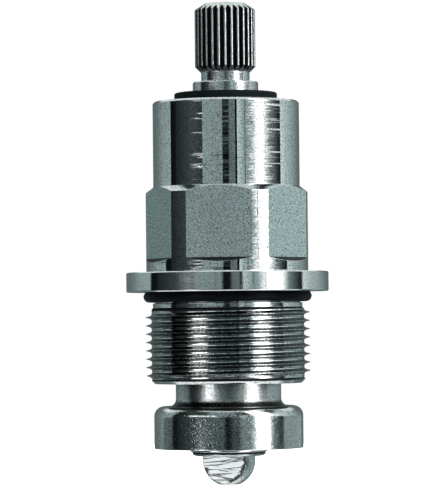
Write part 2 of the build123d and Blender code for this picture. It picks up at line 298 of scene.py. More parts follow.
class Shader:
    """A short way to write a node tree: each call adds nodes and links their inputs."""

    def __init__(self, tree):
        self.tree = tree
        self.tree.nodes.clear()

    def node(self, kind, settings=(), **inputs):
        """Adds a node. settings are its own properties, and inputs are sockets by name, a value or a link.

        A key such as in0 is a socket's number, and any other is its name with underscores for spaces.
        """
        made = self.tree.nodes.new(kind)
        for key, value in dict(settings).items():
            setattr(made, key, value)
        for key, value in inputs.items():
            numbered = key.startswith("in") and key[2:].isdigit()
            socket = made.inputs[int(key[2:]) if numbered else key.replace("_", " ")]
            if isinstance(value, bpy.types.NodeSocket):
                self.tree.links.new(value, socket)
            else:
                socket.default_value = value
        return made

    def math(self, operation, first, *others):
        """The result of a Math node, or of one for each further value, from the left."""
        for other in others or (0.0,):
            first = self.node("ShaderNodeMath", {"operation": operation}, in0=first, in1=other).outputs[0]
        return first

    def add(self, *values):
        """The sum of the values."""
        return self.math("ADD", *values)

    def less(self, first, second):
        """The first value less the second."""
        return self.math("SUBTRACT", first, second)

    def times(self, *values):
        """The product of the values."""
        return self.math("MULTIPLY", *values)

    def vector(self, x=0.0, y=0.0, z=0.0):
        """A vector from its parts."""
        return self.node("ShaderNodeCombineXYZ", in0=x, in1=y, in2=z).outputs[0]

    def parts(self, vector):
        """The three parts of a vector."""
        return self.node("ShaderNodeSeparateXYZ", in0=vector).outputs

    def vector_math(self, operation, first, **inputs):
        """The result of a Vector Math node."""
        return self.node("ShaderNodeVectorMath", {"operation": operation}, in0=first, **inputs).outputs[0]

    def place(self):
        """The point of the surface in its object, in metres."""
        return self.node("ShaderNodeTexCoord").outputs["Object"]

    def facing(self):
        """The surface's normal before any bump."""
        return self.node("ShaderNodeNewGeometry").outputs["Normal"]

    def noise(self, vector, scale=1.0, detail=3.0, roughness=0.55):
        """A noise value about 0.5."""
        made = self.node("ShaderNodeTexNoise", Vector=vector, Scale=scale, Detail=detail, Roughness=roughness)
        return made.outputs["Fac"]

    def mapped(self, vector, scale=(1, 1, 1), turn=(0, 0, 0)):
        """A vector turned by Euler angles, then scaled."""
        turned = self.node("ShaderNodeMapping", Vector=vector, Rotation=turn).outputs[0]
        return self.node("ShaderNodeMapping", Vector=turned, Scale=scale).outputs[0]

    def span(self, value, low, high, to_low=0.0, to_high=1.0):
        """A value taken from one span to another, and held inside it."""
        made = self.node("ShaderNodeMapRange", {"clamp": True}, in0=value, in1=low, in2=high, in3=to_low, in4=to_high)
        return made.outputs[0]

    def mixed(self, share, first, second):
        """A colour that goes from the first to the second with the share."""
        made = self.node("ShaderNodeMix", {"data_type": "RGBA"}, Factor=share)
        made.inputs[6].default_value = (*first, 1)
        made.inputs[7].default_value = (*second, 1)
        return made.outputs[2]

    def bump(self, height, depth, strength=0.5, **inputs):
        """The normal that a height between 0 and 1 bumps, with the depth in metres."""
        return self.node("ShaderNodeBump", Strength=strength, Distance=depth, Height=height, **inputs).outputs[0]

    def surface(self, **inputs):
        """One Principled shader as the material's surface."""
        shade = self.node("ShaderNodeBsdfPrincipled", **inputs)
        self.node("ShaderNodeOutputMaterial", Surface=shade.outputs[0])


def new_material(name):
    """An empty node material and its Shader."""
    material = bpy.data.materials.new(name)
    material.use_nodes = True
    return material, Shader(material.node_tree)


def shaded(tint, *shares):
    """A colour with each part at its own share, or all at the one share."""
    return [part * share for part, share in zip(tint, shares if len(shares) == 3 else shares * 3)]


# How quickly a ring's own value changes along it, per metre, and where the second noise of the rings is taken.
ALONG_RINGS = 140.0
OTHER_RINGS = (7.3, 2.1, 40.0)


def turned_normal(s, place, tilt, waver, size):
    """The shading normal of a turned surface, and the ring noise behind it.

    Noise runs on stretched coordinates that change quickly with height and radius and slowly across, so each ring has
    a value of its own. One noise tilts the normal up and down by tilt degrees, a second turns it sideways by waver
    degrees, along the cross product of the axis and the normal.
    """
    x, y, z = s.parts(place)
    radius = s.math("SQRT", s.add(s.times(x, x), s.times(y, y)))
    per_ring = 1.0 / (size * MM)
    outwards = s.add(s.times(y, ALONG_RINGS), s.times(radius, per_ring))
    rings = s.vector(s.times(x, ALONG_RINGS), outwards, s.times(z, per_ring))
    up = s.noise(rings, detail=1.0, roughness=0.5)
    along = s.noise(s.vector_math("ADD", rings, in1=OTHER_RINGS), 0.6)
    normal = s.facing()
    sideways = s.vector_math("CROSS_PRODUCT", (0.0, 0.0, 1.0), in1=normal)
    slope = s.times(s.less(up, 0.5), 4.0 * math.radians(tilt))
    drift = s.times(s.less(along, 0.5), 4.0 * math.radians(waver))
    bent = s.vector_math("ADD", normal, in1=s.vector_math("SCALE", sideways, Scale=drift))
    bent = s.vector_math("ADD", bent, in1=s.vector(z=slope))
    return s.vector_math("NORMALIZE", bent), up


METAL_GRAIN = 0.16


def finish_metal(
    name,
    tint,
    gloss=0.1,
    ring_roughness=0.05,
    tilt=0.6,
    waver=0.4,
    ring_size=0.16,
    grain=0.3,
    speckle=0.9,
    stain=0.1,
    scratches=0.3,
    anisotropy=0.0,
    painted_flank_shade=0.0,
    pits=0.0,
):
    """Plated metal that was turned first.

    The turned normal carries the rings. A second, even noise is the grain: it bumps the surface and speckles its
    colour. Stains are broad patches that dull and darken a little, and long scratches are thin bands of a stretched
    noise. Hairlines are thin bands of a broad noise, here and there. The painted flank shade darkens the colour of
    faces that tilt far up or down, such as a thread's steep sides and the neck's fillet, as shade in grooves. pits
    dents the surface where the grain is high, so that single specks catch the lights.
    """
    material, s = new_material(name)
    place = s.place()
    normal, ring = turned_normal(s, place, tilt, waver, ring_size)
    speck = s.noise(place, 1.0 / (METAL_GRAIN * MM), detail=3.0, roughness=0.7)
    cloud = s.noise(place, 140.0, detail=4.0, roughness=0.6)
    stretched = s.mapped(place, scale=(900.0, 900.0, 60.0), turn=(0.5, 0.7, 0.3))
    scratch = s.span(s.noise(stretched, detail=5.0, roughness=0.75), 0.66, 0.74)
    curl = s.math("ABSOLUTE", s.less(s.noise(place, 170.0, detail=1.5), 0.5))
    hairline = s.times(s.span(curl, 0.0035, 0.0015), s.span(s.noise(place, 110.0, detail=1.0), 0.58, 0.63))
    rough = s.add(
        gloss,
        s.span(ring, 0.42, 0.75, 0.0, ring_roughness),
        s.span(cloud, 0.5, 0.8, 0.0, stain * 0.6),
        s.times(scratch, scratches * 0.3),
    )
    height = s.times(speck, grain)
    if pits:
        height = s.less(height, s.span(speck, 0.62, 0.7, 0.0, pits))
    height = s.less(height, s.times(scratch, scratches * 0.1))
    dull = s.add(
        s.span(cloud, 0.45, 0.85, 0.0, stain),
        s.span(speck, 0.3, 0.7, 0.2 + speckle, 0.2 - speckle),
        s.times(hairline, scratches * 2.0),
    )
    # Painted shade: the colour darkens on faces that tilt far up or down, such as a thread's grooves and the neck's
    # fillet.
    if painted_flank_shade:
        upright = s.math("ABSOLUTE", s.parts(s.facing())[2])
        dull = s.add(dull, s.span(upright, 0.15, 0.5, 0.0, painted_flank_shade))
    inputs = dict(Anisotropic=anisotropy, Anisotropic_Rotation=0.25)
    if anisotropy:
        inputs["Tangent"] = s.node("ShaderNodeTangent", {"direction_type": "RADIAL", "axis": "Z"}).outputs[0]
    s.surface(
        Metallic=1.0,
        Base_Color=s.mixed(dull, tint, shaded(tint, 0.03, 0.035, 0.035)),
        Roughness=rough,
        Normal=s.bump(height, 0.02 * MM, Normal=normal),
        **inputs,
    )
    return material


def finish_milled(name, tint):
    """A milled flat, plated: long cutter marks on a slant and a matt grain along them, in the piece's own UV map."""
    material, s = new_material(name)
    uv = s.node("ShaderNodeUVMap", {"uv_map": "millimetres"}).outputs[0]
    slant, cross_slant = (0, 0, math.radians(-42)), (0, 0, math.radians(34))
    marks = s.noise(s.mapped(uv, scale=(0.9, 4.5, 1.0), turn=slant), detail=4.0, roughness=0.7)
    sweep = s.noise(s.mapped(uv, scale=(0.2, 1.6, 1.0), turn=cross_slant), detail=3.0)
    grain = s.noise(s.mapped(uv, scale=(2.6, 8.0, 1.0), turn=slant), detail=2.0, roughness=0.6)
    cloud = s.noise(s.place(), 260.0, detail=4.0)
    dark = s.add(
        s.span(marks, 0.35, 0.65, 0.46, -0.3), s.span(grain, 0.3, 0.7, 1.25, -1.0), s.span(cloud, 0.45, 0.8, 0.0, 0.1)
    )
    height = s.add(s.times(marks, 0.6), s.times(grain, 0.5), s.times(sweep, 0.5))
    s.surface(
        Metallic=1.0,
        Base_Color=s.mixed(dark, shaded(tint, 0.89, 1.0, 1.0), shaded(tint, 0.18, 0.23, 0.23)),
        Roughness=s.span(s.add(marks, s.times(cloud, 0.6)), 0.55, 1.1, 0.30, 0.5),
        Normal=s.bump(height, 0.03 * MM, strength=0.6),
    )
    return material


def finish_scraped(name, tint):
    """The seat screw's roughly scraped flats: pale and matt, with thin dark scores and ragged painted shade at one
    edge.

    The closeness to the rim is the distance from the dome's centre, taken without the height above that centre. The
    painted edge shade shows where it passes a ragged limit, on one side of the flat, and a notch in the other side's
    rim carries painted shade as dark.
    """
    p = sizes("stem_plunger")
    material, s = new_material(name)
    place = s.place()
    flat = s.mapped(place, turn=(0, 0, math.radians(-SCREW_TURN)))
    lengthwise = s.mapped(flat, scale=(240.0, 240.0, 5200.0), turn=(0, math.radians(5), 0))
    score = s.noise(lengthwise, detail=4.0, roughness=0.7)
    broad = s.noise(s.mapped(flat, scale=(200.0, 200.0, 3000.0), turn=(0, math.radians(-7), 0)), detail=3.0)
    grain = s.noise(place, 7000.0, detail=2.0)
    x, y, z = s.parts(flat)
    below = s.math("MINIMUM", s.less(z, p.dome_centre * MM), 0.0)
    away = s.vector(x, y, below)
    closeness = s.node("ShaderNodeVectorMath", {"operation": "LENGTH"}, in0=away).outputs["Value"]
    ragged = s.add(closeness, s.span(s.noise(place, 2200.0, detail=3.0), 0.3, 0.7, -0.2 * MM, 0.2 * MM))
    facing = s.times(x, s.math("SIGN", s.times(y, -1.0)))
    rim = p.dome_radius
    # Painted shade: a ragged dark strip along one side of the flat's edge, and as dark in a notch on the other side.
    painted_edge_shade = s.times(s.span(ragged, (rim - 0.42) * MM, (rim - 0.3) * MM), s.span(facing, 0.4 * MM, 0.9 * MM))
    notch = s.times(s.span(facing, -2.4 * MM, -2.8 * MM), s.span(ragged, 3.35 * MM, 3.5 * MM))
    notch_height = s.times(s.span(below, -0.9 * MM, -1.1 * MM), s.span(below, -2.1 * MM, -1.9 * MM))
    dark = s.math(
        "MAXIMUM",
        s.span(score, 0.56, 0.61, 0.0, 0.95),
        s.span(broad, 0.62, 0.66, 0.0, 0.85),
        s.times(s.math("MAXIMUM", painted_edge_shade, s.times(notch, notch_height)), 0.97),
        s.span(grain, 0.6, 0.8, 0.0, 0.2),
    )
    s.surface(
        Metallic=1.0,
        Base_Color=s.mixed(dark, tint, shaded(tint, 0.03, 0.04, 0.04)),
        Roughness=0.42,
        Normal=s.bump(s.less(1.0, dark), 0.04 * MM),
    )
    return material


def finish_soft(name, tint, gloss=0.35, grain_size=0.2, specular=0.5, grain_bump=0.3):
    """Rubber, plastic or blackened steel: a fine grain in bump and roughness, with broad dusty patches."""
    material, s = new_material(name)
    place = s.place()
    grain = s.noise(place, 1.0 / (grain_size * MM), detail=4.0, roughness=0.7)
    cloud = s.noise(place, 220.0, detail=4.0)
    dusty = [min(1.0, part * 1.6 + 0.0005) for part in tint]
    s.surface(
        Base_Color=s.mixed(s.span(cloud, 0.5, 0.9, 0.0, 0.35), tint, dusty),
        Roughness=s.add(s.span(grain, 0.3, 0.7, gloss - 0.08, gloss + 0.12), s.span(cloud, 0.4, 0.8, 0.0, 0.15)),
        Specular_IOR_Level=specular,
        Normal=s.bump(s.times(grain, grain_bump), 0.03 * MM),
    )
    return material


METALS = {
    "bright_plating": dict(gloss=0.02, tilt=1.7, waver=0.15, ring_size=0.28, ring_roughness=0.03, grain=0.04),
    "flange_plating": dict(gloss=0.02, tilt=0.12, waver=0.06, speckle=0.4, scratches=0.1),
    # Painted shade: thread_plating darkens the colour of the thread's steep flanks.
    "thread_plating": dict(gloss=0.05, tilt=1.6, waver=0.5, grain=0.4, painted_flank_shade=0.6),
    "bore_plating": dict(tint="bore", gloss=0.4, tilt=1.5, waver=0.5, grain=0.8, speckle=0.4),
    "satin_plating": dict(tint="satin", gloss=0.07, tilt=0.35, waver=0.3, grain=0.6, scratches=0.1, pits=0.4),
    # Painted shade: the spline's foot, darkened where it faces down.
    "foot_plating": dict(tint="shade", gloss=0.2, grain=0.6, scratches=0.1),
    # Painted shade: neck_plating darkens the fillet between neck and head, whose faces turn up.
    "neck_plating": dict(
        tint="satin",
        gloss=0.3,
        tilt=2.0,
        waver=0.3,
        grain=0.8,
        anisotropy=0.8,
        ring_size=0.22,
        scratches=0.05,
        painted_flank_shade=0.9,
    ),
    "spindle_plating": dict(tint="satin", gloss=0.15, tilt=0.9, waver=0.2, grain=0.5, stain=0.3),
    "spline_plating": dict(gloss=0.2, tilt=0.5, waver=0.2, grain=0.8),
    "retainer_plating": dict(tint="satin", gloss=0.2, grain=0.8),
    "screw_plating": dict(tint="satin", gloss=0.24, grain=0.8),
}
SOFTS = {
    "blackened_spring": dict(tint="black", gloss=0.5, specular=0.03, grain_bump=0.9),
    "seal_rubber": dict(tint="rubber", gloss=0.3, specular=0.03),
    "washer_rubber": dict(tint="rubber", gloss=0.55, grain_size=0.25, specular=0.2),
    "slip_plastic": dict(tint="slip", gloss=0.4, grain_size=0.3),
    # Painted shade: a near-black finish for the ledge, the thread's end bands, the spline's gaps and the retainer's
    # creases.
    "gap_plating": dict(tint="rubber", gloss=0.5, grain_size=0.12, specular=0.2, grain_bump=0.8),
}
MARKED_FLATS = {"milled_plating": finish_milled, "scraped_plating": finish_scraped}


def finish(name):
    """A finish by its name, made once. No finish shares its name with a slot of the record."""
    found = bpy.data.materials.get(name)
    if found:
        return found
    colours = sizes("stem_finish")
    if name in MARKED_FLATS:
        return MARKED_FLATS[name](name, tuple(colours.plating))
    make, options = (finish_metal, METALS[name]) if name in METALS else (finish_soft, SOFTS[name])
    options = dict(options)
    return make(name, tuple(getattr(colours, options.pop("tint", "plating"))), **options)


# How far the hexagon and the seat screw's spanner flats stand turned from the camera's side, in degrees.
FLAT_TURN, SCREW_TURN = -6.3, -20.0
# The bonnet's threaded end: its chamfer, and how far the bands of painted shade reach at the thread's two ends.
END_CHAMFER, END_BAND, TOP_BAND = 0.45, 0.86, 0.5
# The thread in the handle screw's hole, and the depth of the plunger's cup.
HOLE_THREAD_DEPTH, HOLE_THREAD_PITCH = 0.35, 0.8
CUP_DEPTH = 3.6
# How near to a surface a point counts as on it, and how far a region of faces reaches beyond its last row.
NEAR, MARGIN = 0.005, 0.01


def hexagon(angles, across):
    """A hexagon's distance from the axis at each angle, half its width over the cosine, and the angle to its side."""
    sector = np.radians(60)
    from_side = (angles - np.radians(FLAT_TURN - 90) + sector / 2) % sector - sector / 2
    return across / 2 / np.cos(from_side), from_side


def edge_columns(edge, sector, beside, on_flat, on_round):
    """Column angles of one flat and the round after it, with a column on either edge and close ones beside it."""
    near, far = np.radians(beside)
    after = sector - edge
    return np.concatenate(
        [
            [-edge, -edge + near],
            np.linspace(-edge + far, edge - far, on_flat),
            [edge - near, edge, edge + near],
            np.linspace(edge + far, after - far, on_round),
            [after - near],
        ]
    )


def make_bonnet():
    """The bonnet's whole skin but the thread, one closed grid of profile rows and columns round the axis.

    In each column the radius of the flats is the lesser of the round's radius and the hexagon's side. The chamfer above
    starts where its cone has that radius, and the ledge below ends where its slope reaches the round. The ledge and the
    bands beyond the thread carry painted shade, a near-black finish.
    """
    b = sizes("stem_bonnet")
    edge = math.acos(b.across_flats / 2 / b.round_radius)
    sides = np.radians(FLAT_TURN - 90 + 60 * np.arange(6))
    angles = (sides[:, None] + edge_columns(edge, np.radians(60), (0.06, 0.25), 31, 11)).ravel()
    side, from_side = hexagon(angles, b.across_flats)
    flat = np.minimum(side, b.round_radius)
    cone = (b.hex_top - b.full_flat_top) / (b.round_radius - b.barrel_radius)
    chamfer_end = b.hex_top - (flat - b.barrel_radius) * cone
    slope = b.ledge_drop / (b.round_radius - b.across_flats / 2)
    ledge_end = b.flats_end - slope * np.maximum(b.round_radius * np.cos(from_side) - b.across_flats / 2, 0)
    ledge_end = np.minimum(ledge_end, b.flats_end - 0.04)
    top_chamfer, rim_chamfer, mouth_chamfer = 0.3, 0.15, 1.3
    recess, recess_depth = b.groove_radius + 2.03, 0.2
    guide, _ = hexagon(angles, 13.9)
    guide_low, guide_high = 2.0, 16.0
    collar_room, room_top = 8.15, 18.0
    corners = [
        (b.bore_radius + 0.2, b.top, 0.03),
        (b.barrel_radius - top_chamfer, b.top, 0.06),
        (b.barrel_radius, b.top - top_chamfer, 0.06),
        (b.barrel_radius, b.hex_top, 0.03),
        (flat, chamfer_end, 0.05),
        (flat, b.flats_end, 0.05),
        (b.round_radius, ledge_end, 0.05),
        (b.round_radius, b.flange_top, 0.12),
        (b.flange_radius - rim_chamfer, b.flange_top, 0.05),
        (b.flange_radius, b.flange_top - rim_chamfer, 0.05),
        (b.flange_radius, rim_chamfer, 0.05),
        (b.flange_radius - rim_chamfer, 0.0, 0.05),
        (recess, 0.0, 0.03),
        (recess, recess_depth, 0.02),
        (b.groove_radius, recess_depth, 0.05),
        (b.groove_radius, b.relief_top, 0.05),
        (b.relief_radius, b.relief_top, 0.05),
        (b.relief_radius, b.thread_top, 0.05),
        (b.root_radius, b.thread_top - 0.22, 0.05),
        (b.root_radius, b.thread_top - TOP_BAND, 0.0),
        (b.root_radius, b.end + END_BAND, 0.0),
        (b.root_radius, b.end + END_CHAMFER, 0.05),
        (b.root_radius - END_CHAMFER, b.end, 0.05),
        (b.plunger_bore + mouth_chamfer, b.end, 0.05),
        (b.plunger_bore, b.end + mouth_chamfer, 0.05),
        (b.plunger_bore, guide_low, 0.02),
        (guide, guide_low, 0.02),
        (guide, guide_high, 0.02),
        (collar_room, guide_high, 0.02),
        (collar_room, room_top, 0.02),
        (b.bore_radius, room_top, 0.02),
        (b.bore_radius, b.top - 0.2, 0.03),
    ]
    rows = outline(corners, len(angles), steps=3)
    radius, height = rows[..., 0], rows[..., 1]
    from_flat = radius * np.cos(from_side) - b.across_flats / 2
    on_flange = (radius > b.round_radius - NEAR) & between(height, -NEAR, b.flange_top + NEAR)
    on_flat = between(from_flat, -NEAR, NEAR) & (height > b.flats_end - 0.1)
    on_thread = (radius > b.plunger_bore + 1) & between(height, b.end + END_CHAMFER - MARGIN, b.relief_top + NEAR)
    in_bore = (radius < b.root_radius - END_CHAMFER - MARGIN) & (height < b.end + NEAR)
    in_bore |= (radius < b.plunger_bore + mouth_chamfer + MARGIN) & (height < room_top + 0.1)
    on_ledge = between(height, b.flats_end - b.ledge_drop - 2 * MARGIN, b.flats_end + 2 * MARGIN)
    on_ledge &= between(radius, b.plunger_bore + 2, b.round_radius - 0.003)
    in_band = between(height, b.thread_top - TOP_BAND - MARGIN, b.thread_top - MARGIN)
    in_band |= between(height, b.end + END_CHAMFER - MARGIN, b.end + END_BAND + MARGIN)
    in_band &= on_thread
    # Painted shade: the ledge and the bands at the thread's ends take the near-black finish.
    regions = (on_flange, on_flat, on_thread & ~in_band, in_bore, on_ledge | in_band)
    kinds = sum((k + 1) * faces_where(region, True) for k, region in enumerate(regions))
    on_wall = faces_where(between(radius - b.root_radius, -NEAR, NEAR) & (height < b.thread_top), True)
    kinds = np.where(on_wall & (kinds == 0), 3, kinds)
    finishes = ("bright_plating", "flange_plating", "milled_plating", "thread_plating", "bore_plating", "gap_plating")
    piece = add_surface("bonnet_skin", BONNET, around(rows, angles), finishes, wrap_rows=True, kinds=kinds)
    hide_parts("bonnet")


def thread_section(depth, pitch, power=3.3):
    """Half a pitch either side of a crest: the ridge falls from a narrow round crest and flattens towards the roots.

    The crest is half a circle of the crest radius. Below it the height is a power of the distance from the nearer
    root, as a share of the way to the crest. At both ends the outline drops under the root's surface.
    """
    crest, sink, above_root = 0.05, 0.1, 0.004
    share = np.concatenate([np.linspace(0, 0.7, 8), np.linspace(0.76, 1, 6)])
    rise = (depth - crest) * share**power + above_root
    slope = np.stack([(share - 1) * (pitch / 2 - crest) - crest, rise], -1)
    angles = np.radians([160, 135, 110])
    tip = np.stack([crest * np.cos(angles), depth - crest + crest * np.sin(angles)], -1)
    left = np.concatenate([slope[:1] * [1, 0] - [0, sink], slope, tip])
    return np.concatenate([left, left[::-1] * [-1, 1]])


def helix_ridge(name, body, finish_name, section, root, pitch, low, high, phase=0.0, cap=None, turns_per=240):
    """One thread ridge carried along a right-hand helix, closed at both ends.

    section holds points (offset along the axis, distance beyond the root radius). A point of the ridge has the helix's
    height at its angle plus its own offset. cap gives the greatest radius at each height, so that a chamfer cuts the
    crests. The ridge narrows and sinks to its root over the first and last third of a turn.
    """
    across, rise = section[:, 0][:, None], section[:, 1][:, None]
    outwards = np.sign(rise[len(rise) // 2])
    turns = (high - low) / pitch
    angles = np.linspace(0, 2 * math.pi * turns, int(turns * turns_per))
    share = np.clip(np.minimum(angles, angles[-1] - angles) / (2 * math.pi / 3), 0.02, 1)
    heights = low + pitch * angles / (2 * math.pi) + across * share
    sunk = rise * outwards < 0
    radius = root + np.where(sunk, rise, rise * share)
    if cap is not None:
        radius = np.where(sunk, radius, np.minimum(radius, cap(heights)))
    points = np.stack([radius * np.cos(angles + phase), radius * np.sin(angles + phase), heights], axis=-1)
    return add_surface(name, body, points.transpose(1, 0, 2), (finish_name,))


def make_bonnet_thread():
    """The bonnet's external thread, its crests cut by the chamfers at both ends."""
    b = sizes("stem_bonnet")
    section = thread_section(b.thread_radius - b.root_radius, b.thread_pitch)
    low, high = b.end + END_CHAMFER, b.thread_top - 0.25
    phase = 2 * math.pi * (low - b.crest_height) / b.thread_pitch - math.pi

    def cap(height):
        low_cone = b.root_radius - END_CHAMFER + (height - b.end)
        high_cone = b.root_radius - 0.1 + (b.thread_top - height) * 1.4
        return np.minimum(np.minimum(low_cone, high_cone), b.thread_radius)

    run = (section, b.root_radius, b.thread_pitch, low, high, phase, cap)
    piece = helix_ridge("bonnet_thread", BONNET, "thread_plating", *run)


def make_handle_screw_thread():
    """The thread inside the handle screw's hole: a ridge that stands inwards from the hole's wall."""
    s = sizes("stem_spindle")
    section = thread_section(HOLE_THREAD_DEPTH, HOLE_THREAD_PITCH, power=1.6)[::-1] * [1, -1]
    run = (section, s.hole_radius + HOLE_THREAD_DEPTH, HOLE_THREAD_PITCH, s.top - 10.4, s.top - 0.7)
    piece = helix_ridge("handle_screw_thread", SPINDLE, "spindle_plating", *run, turns_per=72)


def spline_columns(s):
    """The outline round the teeth as angles and radii: tip, straight flank and floor of each tooth, corners rounded."""
    tip = math.asin(s.tip_width / 2 / s.tip_radius)
    floor = math.asin(s.gap_width / 2 / s.gap_radius)
    pitch = 2 * math.pi / s.teeth
    one = np.array([-tip, tip, pitch / 2 - floor, pitch / 2 + floor])
    angles = (one + pitch * np.arange(s.teeth)[:, None]).ravel() - math.pi / 2
    radii = np.tile([s.tip_radius, s.tip_radius, s.gap_radius, s.gap_radius], s.teeth)
    corners = np.stack([radii * np.cos(angles), radii * np.sin(angles)], -1)[:, None, :]
    roundings, steps = [0.24, 0.24, 0.06, 0.06], [3, 3, 1, 1]
    x, y = rounded(corners, roundings * s.teeth, steps=steps * s.teeth, support=0.01)[:, 0].T
    return np.unwrap(np.arctan2(y, x)), np.hypot(x, y)


def make_spindle():
    """The spindle's skin from the bottom of the handle screw's hole, over the teeth and down to the lead screw's end.

    In each column the tooth outline gives a radius. The cone at the top and the cone at the foot start where they have
    that radius, so both chamfers cut teeth and gaps true.
    """
    s = sizes("stem_spindle")
    b = sizes("stem_bonnet")
    angles, tooth = spline_columns(s)
    foot, chamfer, top_face = b.top + 4.5, 0.85, 3.1
    top_end = s.top - (tooth - top_face) / (s.tip_radius - top_face)
    foot_start = foot + chamfer - (s.tip_radius - tooth)
    hole = s.hole_radius + HOLE_THREAD_DEPTH
    neck, journal, journal_top, journal_chamfer = 3.7, 5.0, foot - 1.5, 0.15
    ring_groove, ring_groove_top = 4.4, b.top + 1.4
    seal_groove, seal_grooves = 3.49, ((27.25, 25.15), (22.85, 20.75))
    collar, collar_top, collar_end = 6.7, 16.95, 14.55
    undercut, screw = 3.7, 4.5
    corners = [
        (0.35, s.top - 12.2, 0.02),
        (hole, s.top - 11.0, 0.02),
        (hole, s.top - 0.5, 0.03),
        (hole + 0.3, s.top, 0.05),
        (top_face, s.top, 0.05),
        (tooth, top_end, 0.03),
        (tooth, foot_start, 0.03),
        (s.tip_radius - chamfer, foot, 0.04),
        (neck, foot, 0.03),
        (neck, journal_top, 0.12),
        (journal - journal_chamfer, journal_top, 0.05),
        (journal, journal_top - journal_chamfer, 0.05),
        (journal, ring_groove_top, 0.03),
        (ring_groove, ring_groove_top, 0.03),
        (ring_groove, b.top, 0.03),
        (journal, b.top, 0.03),
    ]
    for high, low in seal_grooves:
        corners += [(journal, high, 0.03), (seal_groove, high, 0.05), (seal_groove, low, 0.05), (journal, low, 0.03)]
    corners += [
        (journal, collar_top, 0.03),
        (collar, collar_top, 0.05),
        (collar, collar_end, 0.05),
        (undercut, collar_end, 0.05),
        (undercut, 13.05, 0.05),
        (screw, 12.25, 0.05),
        (screw, s.end + 0.8, 0.03),
        (screw - 0.8, s.end, 0.03),
        (0.3, s.end, 0.02),
    ]
    rows = outline(corners, len(angles), steps=2, closed=False, support=0.03)
    radius, height = rows[..., 0], rows[..., 1]
    on_spline = (height > foot - NEAR) & (radius > hole + 0.05)
    in_gap = (tooth < s.tip_radius - 0.03) & between(radius - tooth, -NEAR, NEAR) & (height > foot)
    at_foot = between(height, foot - NEAR, foot_start) & (radius > neck - NEAR)
    # Painted shade: the gaps between the teeth and the spline's foot take dark finishes.
    kinds = np.where(faces_where(at_foot), 3, 1 * faces_where(on_spline) + faces_where(in_gap))
    finishes = ("spindle_plating", "spline_plating", "gap_plating", "foot_plating")
    piece = add_surface("spindle_skin", SPINDLE, around(rows, angles), finishes, kinds=kinds)
    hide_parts("spindle")


def make_plunger():
    """The plunger: guide, neck with its seal groove, rounded head and the washer cup, bored from above and below."""
    p = sizes("stem_plunger")
    angles = circle(360)
    guide = np.minimum(hexagon(angles, 13.8)[0], 7.87)
    guide_foot, guide_chamfer, neck_chamfer = -1.5, 0.5, 0.1
    bore, bore_end, bore_tip = 4.55, -9.5, -12.2
    groove, groove_high, groove_low = 6.24, -4.31, -6.69
    cup, cup_floor = 9.3, p.head_end + CUP_DEPTH
    screw_hole, screw_hole_end, screw_hole_tip = 2.3, -14.7, -13.45
    corners = [
        (0.3, bore_tip, 0.02),
        (bore, bore_end, 0.05),
        (bore, p.top - 0.5, 0.05),
        (bore + 0.5, p.top, 0.05),
        (guide - guide_chamfer, p.top, 0.05),
        (guide, p.top - guide_chamfer, 0.05),
        (guide, guide_foot, 0.03),
        (p.neck_radius - 0.05, guide_foot, 0.05),
        (p.neck_radius, guide_foot - neck_chamfer, 0.03),
        (p.neck_radius, groove_high, 0.05),
        (groove, groove_high, 0.1),
        (groove, groove_low, 0.1),
        (p.neck_radius, groove_low, 0.05),
        (p.neck_radius, p.head_top, p.neck_fillet),
        (p.head_radius, p.head_top, p.shoulder_radius),
        (p.head_radius, p.head_end, 0.08),
        (cup, p.head_end, 0.08),
        (cup, cup_floor, 0.1),
        (screw_hole, cup_floor, 0.03),
        (screw_hole, screw_hole_end, 0.03),
        (0.3, screw_hole_tip, 0.02),
    ]
    steps = [14 if rounding > 1 else 3 for _, _, rounding in corners]
    rows = outline(corners, len(angles), steps=steps, closed=False)
    on_neck = between(rows[..., 0], groove - MARGIN, p.neck_radius + p.neck_fillet + 0.06)
    on_neck &= between(rows[..., 1], p.head_top - MARGIN, guide_foot)
    # Painted shade: the neck's finish darkens the fillet, whose faces turn up.
    finishes, kinds = ("satin_plating", "neck_plating"), 1 * faces_where(on_neck)
    piece = add_surface("plunger_skin", PLUNGER, around(rows, angles), finishes, kinds=kinds)
    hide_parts("plunger")


def turned_piece(name, node, finish_name, corners, dark=()):
    """A round piece on the plunger that stands for a node, from (radius, height, rounding) corners.

    dark holds spans of height whose faces take painted shade, the near-black finish.
    """
    angles = circle(360)
    rows = outline(corners, 1)
    rows = np.broadcast_to(rows, (len(rows), len(angles), 2))
    in_painted_shade = np.zeros(rows.shape[:2], bool)
    for low, high in dark:
        in_painted_shade |= between(rows[..., 1], low, high)
    finishes, kinds = (finish_name, "gap_plating"), 1 * faces_where(in_painted_shade, True)
    piece = add_surface(name, PLUNGER, around(rows, angles), finishes, wrap_rows=True, kinds=kinds)
    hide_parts(node)


